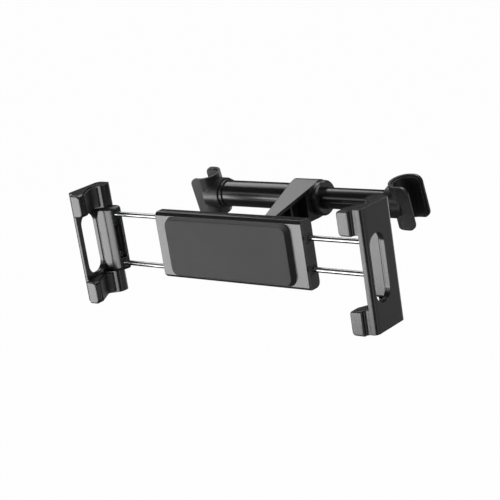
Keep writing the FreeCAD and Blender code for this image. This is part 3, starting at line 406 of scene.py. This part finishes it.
# %% The hook linings
POST_LEAN = math.radians(11.5)
TUBE_Y, TUBE_Z = box_of("outer_tube").mean(axis=0)[1:]
CHANNEL_RADIUS, GLUE_GAP = 9.9, 0.02
LINING_OUTER, LINING_INNER = CHANNEL_RADIUS - GLUE_GAP, 8.6
LINING_REACH, LINING_HALF = 8.4, 17.3
LINING_CORNER, LINING_SECTION_CORNER = 4.8, 0.5
LINING_STEPS, LINING_ARC_STEPS, LINING_SIDE_STEPS = 130, 48, 12
HOOK_BODIES = {"left": "hanger", "right": "slider"}


def channel_path(radius):
    """Half a circle behind the post, then straight lips that run out to the mouth."""
    angle = np.linspace(-math.pi / 2, -3 * math.pi / 2, LINING_ARC_STEPS + 1)
    arc = np.stack([np.cos(angle), np.sin(angle)], axis=-1) * radius
    return evenly(np.concatenate([[[LINING_REACH, -radius]], arc, [[LINING_REACH, radius]]]), LINING_STEPS)


def leaned(sheet, sign, post_x):
    """Mirrors a channel to its side, turns it about X by the posts' lean, and moves it to its post."""
    x, y, z = sheet[..., 0] * sign, sheet[..., 1], sheet[..., 2]
    cos, sin = math.cos(POST_LEAN), math.sin(POST_LEAN)
    return np.stack([x + post_x, y * cos - z * sin + TUBE_Y, y * sin + z * cos + TUBE_Z], axis=-1)


channel = strip_sheet(
    channel_path(LINING_OUTER), channel_path(LINING_INNER), -LINING_HALF, LINING_HALF, LINING_SECTION_CORNER,
    LINING_SIDE_STEPS, LINING_CORNER)
for side, sign in SIDES.items():
    lowest, highest = box_of(f"{side}_hook_liner")[:, 0]
    post_x = (lowest if side == "right" else highest) + sign * CHANNEL_RADIUS
    lining = mesh_piece(f"{side}_post_lining", leaned(channel, sign, post_x) * MM)
    stand_in(lining, HOOK_BODIES[side], "grip_rubber", f"{side}_hook_liner")
    print(side, "post at x", round(post_x, 3))

# %% [markdown]
# A screw is a surface of revolution, with one exception: the cross in its head. The profile gives a
# radius and a height row by row, and inside the head the height is lowered where a point lies in
# one of the two arms of the cross.

# %% The shape of a screw
SCREW_COLUMNS = 96
TOP_ROWS, TOP_SHARE, TOP_DOME = 26, 0.94, 0.35
RIM_HIGH, RIM_LOW = 0.55, 0.3
POINT_FROM, POINT_RADIUS = 0.9, 0.5
CROSS_ARM, CROSS_WIDE, CROSS_DEEP, CROSS_SOFT = 0.62, 0.2, 0.9, 0.05


def smooth_step(edge_low, edge_high, value):
    """0 below the first edge, 1 above the second, and 3t squared minus 2t cubed between them."""
    t = np.clip((value - edge_low) / (edge_high - edge_low), 0, 1)
    return t * t * (3 - 2 * t)


def in_cross(u, v):
    """1 where a point of the head lies inside one of the cross's two arms, 0 outside both, and between them
    at an arm's soft edge. u and v are shares of the head's radius."""
    def arm(along, across):
        return ((1 - smooth_step(CROSS_ARM - CROSS_SOFT, CROSS_ARM + CROSS_SOFT, np.abs(along)))
                * (1 - smooth_step(CROSS_WIDE - CROSS_SOFT, CROSS_WIDE + CROSS_SOFT, np.abs(across))))
    return np.maximum(arm(u, v), arm(v, u))


def screw_sheet(head_radius, head_thick, shank_radius, shank_length):
    """A screw along +Z with its head's underside at 0: a domed top with a cross in it, a bevelled rim, the
    underside, a shank and a short point. The dome falls with the square of the radius."""
    angle = np.linspace(0, 2 * math.pi, SCREW_COLUMNS, endpoint=False)
    top = np.linspace(0, TOP_SHARE, TOP_ROWS)[:, None]
    u, v = top * np.cos(angle), top * np.sin(angle)
    height = head_thick * (1 - TOP_DOME * top**2 - CROSS_DEEP * in_cross(u, v))
    profile = np.array([
        (head_radius, head_thick * RIM_HIGH), (head_radius, head_thick * RIM_LOW), (head_radius, 0),
        (shank_radius, 0), (shank_radius, -shank_length * POINT_FROM),
        (shank_radius * POINT_RADIUS, -shank_length), (0, -shank_length),
    ])
    radius, level = profile.T[..., None]
    sides = np.stack([radius * np.cos(angle), radius * np.sin(angle), level + 0 * angle], axis=-1)
    return np.concatenate([np.stack([u * head_radius, v * head_radius, height], axis=-1), sides])


print("half way out, the cross is", in_cross(0.5, 0.0), "on an arm and", in_cross(0.5, 0.5), "between two")

# %% [markdown]
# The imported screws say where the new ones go. They lie on either side of the middle, left or right
# and above or below, so each is found by its two signs. Each screw of a set stops at a turn of its
# own when it is driven home, which a random angle from a fixed seed gives.

# %% Screws in their places
SCREW_RADIUS, SHANK_RADIUS = 2.6, 1.25
COVER_HEAD, CARRIAGE_HEAD = 1.2, 1.4
turns = np.random.default_rng(7).uniform(0, math.pi / 2, 8)
COVER_TURNS, CARRIAGE_TURNS = turns[:4], {1: turns[6], -1: turns[4]}


def screw_middle(node, side, level):
    """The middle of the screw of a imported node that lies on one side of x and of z, each 1 or -1. A faceted
    circle's box is a few micrometres short, so the middle is rounded to a hundredth of a millimetre."""
    points = node_arrays(node)[0]
    own = points[(np.sign(points[:, 0]) == side) & (np.sign(points[:, 2]) == level)]
    return np.round((own.min(axis=0) + own.max(axis=0)) / 2, 2)


def aimed(sheet, spot, axis, turn):
    """A screw turned about itself, with its head aimed along an axis and the head's underside at a spot."""
    rotation = Vector(axis).to_track_quat("Z", "Y").to_matrix() @ Matrix.Rotation(turn, 3, "Z")
    return sheet @ np.array(rotation).T + np.array(spot)


def cover_screw_set():
    """The four screws that hold the back shell to the front plate. Their heads look backwards."""
    tip, top = box_of("cover_screws")[:, 1]
    under = top - COVER_HEAD
    screw = screw_sheet(SCREW_RADIUS, COVER_HEAD, SHANK_RADIUS, under - tip)
    sheets = []
    for (side, level), turn in zip([(-1, 1), (-1, -1), (1, 1), (1, -1)], COVER_TURNS):
        x, _, z = screw_middle("cover_screws", side, level)
        sheets.append(aimed(screw, (x, under, z), (0, 1, 0), turn) * MM)
    return mesh_piece("cover_screw_set", *sheets)


def carriage_screw_pair(side, sign):
    """The two screws that hold a carriage to its jaw. Their heads look at the cradle."""
    node = f"{side}_carriage_screws"
    top, tip = sorted(abs(box_of(node)[:, 0]))
    under = top + CARRIAGE_HEAD
    screw = screw_sheet(SCREW_RADIUS, CARRIAGE_HEAD, SHANK_RADIUS, tip - under)
    sheets = []
    for level, turn in CARRIAGE_TURNS.items():
        _, y, z = screw_middle(node, sign, level)
        sheets.append(aimed(screw, (sign * under, y, z), (-sign, 0, 0), turn) * MM)
    return mesh_piece(f"{side}_carriage_screw_pair", *sheets)


stand_in(cover_screw_set(), "cradle", "screw_steel", "cover_screws")
for side, sign in SIDES.items():
    stand_in(carriage_screw_pair(side, sign), f"{side}_slider", "screw_steel", f"{side}_carriage_screws")

# %% [markdown]
# Black plastic shows its making more than its colour. The mould was spark-eroded, which leaves a
# fine even grain that spreads highlights, and fingers and packing leave slightly smoother patches.
# Both effects go into several finishes, so each is a shader group, built once, that reads object
# coordinates and puts out a height or a mask.

# %% Shader helpers
def add_node(tree, kind, x, y, sockets=None, **settings):
    """A shader node at (x, y) on its sheet. Settings are its own properties, and sockets give input values
    by name or number."""
    made = tree.nodes.new(kind)
    made.location = (x, y)
    for name, value in settings.items():
        setattr(made, name, value)
    for name, value in (sockets or {}).items():
        made.inputs[name].default_value = value
    return made


def ramp(tree, x, y, source, low, high, to_low, to_high):
    """A Map Range node that turns low to high of its source into to_low to to_high, smoothly."""
    ends = {"From Min": low, "From Max": high, "To Min": to_low, "To Max": to_high}
    made = add_node(tree, "ShaderNodeMapRange", x, y, ends, interpolation_type="SMOOTHSTEP")
    tree.links.new(source, made.inputs["Value"])
    return made.outputs["Result"]


def effect_group(name, inputs, outputs):
    """An empty shader group with named inputs and outputs, and its two end nodes."""
    group = bpy.data.node_groups.new(name, "ShaderNodeTree")
    for socket, value in inputs.items():
        made = group.interface.new_socket(socket, in_out="INPUT", socket_type="NodeSocketFloat")
        made.default_value = value
    for socket, kind in outputs.items():
        group.interface.new_socket(socket, in_out="OUTPUT", socket_type=kind)
    return group, add_node(group, "NodeGroupInput", -900, 0), add_node(group, "NodeGroupOutput", 700, 0)


# %% Spark-eroded grain
grain, entry, leave = effect_group(
    "Spark-eroded grain", {"Cells per metre": 3000.0, "Roundness": 0.5}, {"Height": "NodeSocketFloat"})
place = add_node(grain, "ShaderNodeTexCoord", -900, -200)
pits = add_node(grain, "ShaderNodeTexNoise", -500, 150, {"Detail": 3.0, "Roughness": 0.6})
domes = add_node(grain, "ShaderNodeTexVoronoi", -500, -150, {"Smoothness": 0.8}, feature="SMOOTH_F1")
mix = add_node(grain, "ShaderNodeMix", 300, 0)
for texture in (pits, domes):
    grain.links.new(place.outputs["Object"], texture.inputs["Vector"])
    grain.links.new(entry.outputs["Cells per metre"], texture.inputs["Scale"])
grain.links.new(entry.outputs["Roundness"], mix.inputs["Factor"])
grain.links.new(pits.outputs["Fac"], mix.inputs["A"])
grain.links.new(domes.outputs["Distance"], mix.inputs["B"])
grain.links.new(mix.outputs["Result"], leave.inputs["Height"])
print(grain.name, len(grain.nodes), "nodes")

# %% Handling marks
handling, entry, leave = effect_group(
    "Handling marks", {"Patches per metre": 30.0}, {"Patches": "NodeSocketFloat"})
place = add_node(handling, "ShaderNodeTexCoord", -900, -200)
patches = add_node(
    handling, "ShaderNodeTexNoise", -500, 150, {"Detail": 4.0, "Roughness": 0.55, "Distortion": 0.6})
handling.links.new(place.outputs["Object"], patches.inputs["Vector"])
handling.links.new(entry.outputs["Patches per metre"], patches.inputs["Scale"])
handling.links.new(ramp(handling, 0, 150, patches.outputs["Fac"], 0.35, 0.68, 0, 1), leave.inputs["Patches"])
print(handling.name, len(handling.nodes), "nodes")

# %% [markdown]
# No moulded edge is perfectly sharp, and a thin bright line along each edge is what makes black
# plastic readable. A Bevel node rounds the shading normal near an edge. Where that rounded normal
# leaves the true one, the colour is painted lighter and the roughness lower. This is partly wear from hands
# rubbing the grain smooth and partly a painted highlight along the edge, so one group gives both.

# %% Rounded edges, worn and with a painted highlight
edges, entry, leave = effect_group(
    "Rounded edges with wear and painted highlight", {"Radius": 0.0004, "Wear and highlight share": 0.4},
    {"Normal": "NodeSocketVector", "Wear and painted highlight": "NodeSocketFloat"})
bevel = add_node(edges, "ShaderNodeBevel", -500, 150, samples=6)
true_face = add_node(edges, "ShaderNodeNewGeometry", -500, -150)
agree = add_node(edges, "ShaderNodeVectorMath", -200, 0, operation="DOT_PRODUCT")
scaled = add_node(edges, "ShaderNodeMath", 400, -100, operation="MULTIPLY")
edges.links.new(entry.outputs["Radius"], bevel.inputs["Radius"])
edges.links.new(bevel.outputs["Normal"], agree.inputs[0])
edges.links.new(true_face.outputs["Normal"], agree.inputs[1])
edges.links.new(bevel.outputs["Normal"], leave.inputs["Normal"])
# Near an edge the mask is 1. It lightens the colour there, partly as wear and partly as a painted highlight.
edges.links.new(ramp(edges, 100, -100, agree.outputs["Value"], 0.86, 0.995, 1, 0), scaled.inputs[0])
edges.links.new(entry.outputs["Wear and highlight share"], scaled.inputs[1])
edges.links.new(scaled.outputs["Value"], leave.inputs["Wear and painted highlight"])
print(edges.name, len(edges.nodes), "nodes")

# %% [markdown]
# A finish is one Principled shader. Its constant values sit on the shader's own sockets, and the
# groups feed only what changes over the surface: colour a little lighter in the handled patches
# and along worn edges, where the lighter colour is partly a painted highlight, roughness a little
# lower there, and a bump from the grain.

# %% One function for every finish
HANDLED_SHARE = 0.25


def finish(name, colours, roughness, cells, grain_height, roundness=0.5, edge_radius=0.0004, constants=None):
    """A material. The masks mix its first colour towards the second and its first roughness towards the
    second. They are handling patches, and edges where the lighter colour is partly wear and partly a painted
    highlight. A bump is as high as grain_height metres over the grain's full range. Constants are values
    for the shader's own sockets."""
    made = bpy.data.materials.new(name)
    made.use_nodes = True
    tree = made.node_tree
    shader = tree.nodes["Principled BSDF"]
    for socket, value in (constants or {}).items():
        shader.inputs[socket].default_value = value
    masks = add_node(tree, "ShaderNodeGroup", -1100, 200, node_tree=handling)
    edge_wear_and_highlight = add_node(tree, "ShaderNodeGroup", -1100, -100, node_tree=edges)
    edge_wear_and_highlight.inputs["Radius"].default_value = edge_radius
    texture = add_node(tree, "ShaderNodeGroup", -1100, -400, node_tree=grain)
    texture.inputs["Cells per metre"].default_value = cells
    texture.inputs["Roundness"].default_value = roundness
    handled = add_node(tree, "ShaderNodeMath", -850, 150, {1: HANDLED_SHARE}, operation="MULTIPLY")
    # Along edges the lighter colour is partly wear and partly a painted highlight. In the handled patches it
    # is the plastic's own.
    wear_and_edge_highlight = add_node(tree, "ShaderNodeMath", -650, 100, operation="MAXIMUM")
    ends = {"A": (*colours[0], 1), "B": (*colours[1], 1)}
    tint = add_node(tree, "ShaderNodeMix", -400, 250, ends, data_type="RGBA")
    bump = add_node(tree, "ShaderNodeBump", -400, -350, {"Strength": 1.0, "Distance": grain_height})
    tree.links.new(masks.outputs["Patches"], handled.inputs[0])
    tree.links.new(handled.outputs["Value"], wear_and_edge_highlight.inputs[0])
    tree.links.new(edge_wear_and_highlight.outputs["Wear and painted highlight"], wear_and_edge_highlight.inputs[1])
    tree.links.new(wear_and_edge_highlight.outputs["Value"], tint.inputs["Factor"])
    tree.links.new(tint.outputs["Result"], shader.inputs["Base Color"])
    gloss = ramp(tree, -400, -50, wear_and_edge_highlight.outputs["Value"], 0, 1, *roughness)
    tree.links.new(gloss, shader.inputs["Roughness"])
    tree.links.new(texture.outputs["Height"], bump.inputs["Height"])
    tree.links.new(edge_wear_and_highlight.outputs["Normal"], bump.inputs["Normal"])
    tree.links.new(bump.outputs["Normal"], shader.inputs["Normal"])
    return made


print("grain, handling marks and rounded edges are ready for every finish")

# %% [markdown]
# The mount has few materials. Its mouldings are one black plastic, a little glossier or duller from
# mould to mould, so one function makes them all. The pad and the linings are rubber, which is duller
# and a trace paler. The tubes are black with a thin coat. The rods are chromed, in a middle grey,
# because a full chrome would vanish against a white room.

# %% Finishes
METAL = {"Metallic": 1.0}
COOL = 1.03


def grey(level):
    """A neutral colour, with its blue channel a few hundredths up, as black plastic has."""
    return (level, level, level * COOL)


def black_plastic(name, rough, edge_radius):
    """The grained black plastic of the mouldings, which differ only in their gloss and in how round their
    edges are."""
    return finish(
        name, (grey(0.01), grey(0.022)), (rough, rough - 0.05), cells=3200.0, grain_height=0.000005,
        edge_radius=edge_radius, constants={"IOR": 1.57})


materials = {
    "moulded_black": black_plastic("Moulded black plastic", 0.27, 0.0006),
    "cover_black": black_plastic("Moulded black plastic of the covers", 0.23, 0.0004),
    "jaw_black": black_plastic("Moulded black plastic of the jaws", 0.26, 0.0008),
    "hook_black": black_plastic("Moulded black plastic of the hooks", 0.34, 0.0009),
    "soft_pad": finish(
        "Face pad rubber", (grey(0.015), grey(0.022)), (0.6, 0.54), cells=2200.0, grain_height=0.00002,
        roundness=0.7, constants={"Specular IOR Level": 0.4}),
    "grip_rubber": finish(
        "Grip rubber", (grey(0.014), grey(0.024)), (0.5, 0.42), cells=2600.0, grain_height=0.00001,
        roundness=0.7),
    "tube_coat": finish(
        "Coated tube", (grey(0.008), grey(0.018)), (0.22, 0.18), cells=900.0, grain_height=0.000005,
        roundness=0.2, constants={"Coat Weight": 0.2, "Coat Roughness": 0.15}),
    "rod_chrome": finish(
        "Chromed rod", ((0.42, 0.425, 0.43), (0.48, 0.485, 0.49)), (0.2, 0.16), cells=1500.0,
        grain_height=0.0000005, constants=METAL),
    "screw_steel": finish(
        "Dark screw steel", ((0.2, 0.2, 0.21), (0.42, 0.42, 0.43)), (0.38, 0.22), cells=3500.0,
        grain_height=0.000008, edge_radius=0.00012, constants=METAL),
    "bearing_plastic": finish(
        "Bearing plastic", (grey(0.05), grey(0.065)), (0.5, 0.42), cells=2800.0, grain_height=0.000008),
}
print(len(materials), "finishes")

# %% [markdown]
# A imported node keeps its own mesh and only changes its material. The record says which slot a node
# takes its finish from, and the new pieces have noted theirs. Covers, jaws and hooks come from
# moulds of their own, and take their own version of the black plastic.

# %% Dress the nodes and the pieces
OWN_MOULD = {"front_plate": "cover_black", "rear_shell": "cover_black"}
for side in SIDES:
    OWN_MOULD[f"{side}_jaw_moulding"] = "jaw_black"
    OWN_MOULD[f"{side}_hook"] = "hook_black"
for name, node in nodes.items():
    slot = node.data.materials[0].name.split(".")[0]
    node.data.materials[0] = materials[OWN_MOULD.get(name, slot)]
for name, slot in new_slots.items():
    bpy.data.objects[name].data.materials.append(materials[OWN_MOULD.get(name, slot)])

# %% [markdown]
# The mount hangs in the air in use, so a wide pale floor lies well below it and takes only a faint
# shadow. The camera sees floor and sky as white. Reflections see them too, at a part of that
# strength, because satin black turns grey and chrome loses its dark borders in a full white room.

# %% What each kind of ray sees of the background
REFLECTED_SHARE = 0.045


def seen_by(tree, x, y, mirrored_share):
    """A value that is 1 for a camera ray and a ray through glass, and mirrored_share for a mirrored ray."""
    rays = add_node(tree, "ShaderNodeLightPath", x, y)
    direct = add_node(tree, "ShaderNodeMath", x + 200, y + 100, operation="MAXIMUM")
    mirrored = add_node(tree, "ShaderNodeMath", x + 200, y - 100, {1: mirrored_share}, operation="MULTIPLY")
    either = add_node(tree, "ShaderNodeMath", x + 400, y, operation="MAXIMUM")
    tree.links.new(rays.outputs["Is Camera Ray"], direct.inputs[0])
    tree.links.new(rays.outputs["Is Transmission Ray"], direct.inputs[1])
    tree.links.new(rays.outputs["Is Glossy Ray"], mirrored.inputs[0])
    tree.links.new(direct.outputs["Value"], either.inputs[0])
    tree.links.new(mirrored.outputs["Value"], either.inputs[1])
    return either.outputs["Value"]


# %% Floor
FLOOR_Z = -0.8
FLOOR_HALF = 20.0
FLOOR_GLOW = 0.985
floor_mesh = bpy.data.meshes.new("floor")
floor_mesh.from_pydata([(x * FLOOR_HALF, y * FLOOR_HALF, FLOOR_Z) for x, y in QUARTERS], [], [(0, 1, 2, 3)])
floor = bpy.data.objects.new("floor", floor_mesh)
bpy.context.scene.collection.objects.link(floor)

pale = bpy.data.materials.new("Pale floor")
pale.use_nodes = True
tree = pale.node_tree
paint = tree.nodes["Principled BSDF"]
paint.inputs["Base Color"].default_value = (0.6, 0.6, 0.6, 1)
paint.inputs["Roughness"].default_value = 0.9
paint.inputs["Specular IOR Level"].default_value = 0.1
glow = add_node(tree, "ShaderNodeEmission", 0, -300, {"Color": (1, 1, 1, 1)})
share = add_node(tree, "ShaderNodeMath", -200, 300, {1: FLOOR_GLOW}, operation="MULTIPLY")
blend = add_node(tree, "ShaderNodeMixShader", 300, 100)
tree.links.new(seen_by(tree, -800, 500, 1.0), share.inputs[0])
tree.links.new(seen_by(tree, -800, 100, REFLECTED_SHARE), glow.inputs["Strength"])
tree.links.new(share.outputs["Value"], blend.inputs["Fac"])
tree.links.new(paint.outputs["BSDF"], blend.inputs[1])
tree.links.new(glow.outputs["Emission"], blend.inputs[2])
tree.links.new(blend.outputs["Shader"], tree.nodes["Material Output"].inputs["Surface"])
floor_mesh.materials.append(pale)
print("floor at", FLOOR_Z, "m")

# %% [markdown]
# The sky is white in a low band behind the floor's far edge. Higher up it is dark, and what it
# sheds on the mount is a faint grey, so the lamps alone decide how bright each face is.

# %% Sky
SKY_DARK, SKY_WHITE = (0.03, 0.03, 0.03, 1), (1, 1, 1, 1)
world = bpy.data.worlds.new("Studio")
bpy.context.scene.world = world
world.use_nodes = True
tree = world.node_tree
toward = add_node(tree, "ShaderNodeTexCoord", -900, 0)
split = add_node(tree, "ShaderNodeSeparateXYZ", -700, 0)
low_band = ramp(tree, -450, 0, split.outputs["Z"], 0.2, 0.4, 1, 0)
seen = add_node(tree, "ShaderNodeMath", -300, 200, operation="MULTIPLY")
tone = add_node(tree, "ShaderNodeMix", -100, 0, {"A": SKY_DARK, "B": SKY_WHITE}, data_type="RGBA")
tree.links.new(toward.outputs["Generated"], split.inputs["Vector"])
tree.links.new(low_band, seen.inputs[0])
tree.links.new(seen_by(tree, -900, 400, REFLECTED_SHARE), seen.inputs[1])
tree.links.new(seen.outputs["Value"], tone.inputs["Factor"])
tree.links.new(tone.outputs["Result"], tree.nodes["Background"].inputs["Color"])
print(world.name, len(tree.nodes), "nodes")

# %% [markdown]
# A satin black face is only as bright as the lamp it mirrors. In the photograph every face that
# looks forwards is light grey, whichever way it turns, and tops and undersides are nearly black.
# So a low row of soft lamps curves round the front, where upright faces mirror it to the camera. A
# weak one above it and one below it soften its edges on the tubes and the hooks, and one high on
# the left lights the arm's top and the tubes' upper line. The others stand at the sides, behind and
# above. They are weak, and keep the other views of the mount readable.

# %% Lamps
CENTRE = Vector((0.0, 0.03, 0.0))
# Each lamp has its azimuth and elevation in degrees, its distance, width and height in metres, and its
# radiance. The lamps of the front row differ only in azimuth.
FRONT_ROW = (-13, 1.7, 1.0, 0.56, 6.1)
LAMPS = {
    "front_lamp_1": (-50, *FRONT_ROW),
    "front_lamp_2": (-18, *FRONT_ROW),
    "front_lamp_3": (14, *FRONT_ROW),
    "upper_lamp": (-34, 11, 1.7, 1.8, 0.6, 1.4),
    "lower_lamp": (-34, -34, 1.7, 1.8, 0.5, 2.2),
    "left_lamp": (-113, 43, 1.4, 0.85, 0.45, 3.0),
    "right_lamp": (138, -16, 1.9, 1.2, 0.8, 0.4),
    "right_side_lamp": (93, -12, 1.9, 1.0, 0.8, 0.9),
    "left_side_lamp": (-97, -12, 1.9, 0.9, 0.7, 0.6),
    "right_high_lamp": (88, 44, 1.5, 1.0, 0.7, 2.2),
    "back_low_lamp": (180, -15, 1.7, 1.0, 0.8, 1.4),
    "back_lamp": (-175, 46, 1.5, 1.1, 0.7, 3.0),
    "top_lamp": (150, 78, 1.5, 1.4, 1.0, 2.4),
}


def soft_lamp(name, azimuth, elevation, distance, width, height, radiance):
    """A rectangular lamp that faces the object's middle, at an azimuth from the front towards the right and
    an elevation above the horizon, in degrees. Its power is radiance times its area times pi."""
    light = bpy.data.lights.new(name, "AREA")
    light.shape = "RECTANGLE"
    light.size, light.size_y = width, height
    light.energy = radiance * width * height * math.pi
    lamp = bpy.data.objects.new(name, light)
    around, above = math.radians(azimuth), math.radians(elevation)
    away = Vector((math.sin(around) * math.cos(above), -math.cos(around) * math.cos(above), math.sin(above)))
    lamp.location = CENTRE + away * distance
    lamp.rotation_euler = away.to_track_quat("Z", "Y").to_euler()
    lamp.visible_camera = False
    bpy.context.scene.collection.objects.link(lamp)
    print(name, "of", round(light.energy, 2), "W")


for name, placing in LAMPS.items():
    soft_lamp(name, *placing)

# %% [markdown]
# The camera stands where the photograph was taken from: to the right of the mount and above it,
# rolled so that upright edges lean to the left. It is described by its place, its aim on the plane
# through the pad, its roll and its lens.

# %% Camera
CAMERA_PLACE = Vector((0.7319, -0.7897, 0.3078))
CAMERA_AIM = Vector((0.02507, 0.0, 0.00365))
CAMERA_ROLL = math.radians(-9.17175)
LENS, SENSOR = 105.515, 36.0
camera_data = bpy.data.cameras.new("camera")
camera_data.lens, camera_data.sensor_width = LENS, SENSOR
camera_data.clip_start, camera_data.clip_end = 0.01, 100.0
camera = bpy.data.objects.new("camera", camera_data)
camera.location = CAMERA_PLACE
upright = (CAMERA_AIM - CAMERA_PLACE).to_track_quat("-Z", "Y").to_matrix()
camera.rotation_euler = (upright @ Matrix.Rotation(CAMERA_ROLL, 3, "Z")).to_euler()
bpy.context.scene.collection.objects.link(camera)
bpy.context.scene.camera = camera
bpy.context.scene.view_settings.view_transform = "Standard"
print("camera looks along", [round(v, 3) for v in (CAMERA_AIM - CAMERA_PLACE).normalized()])
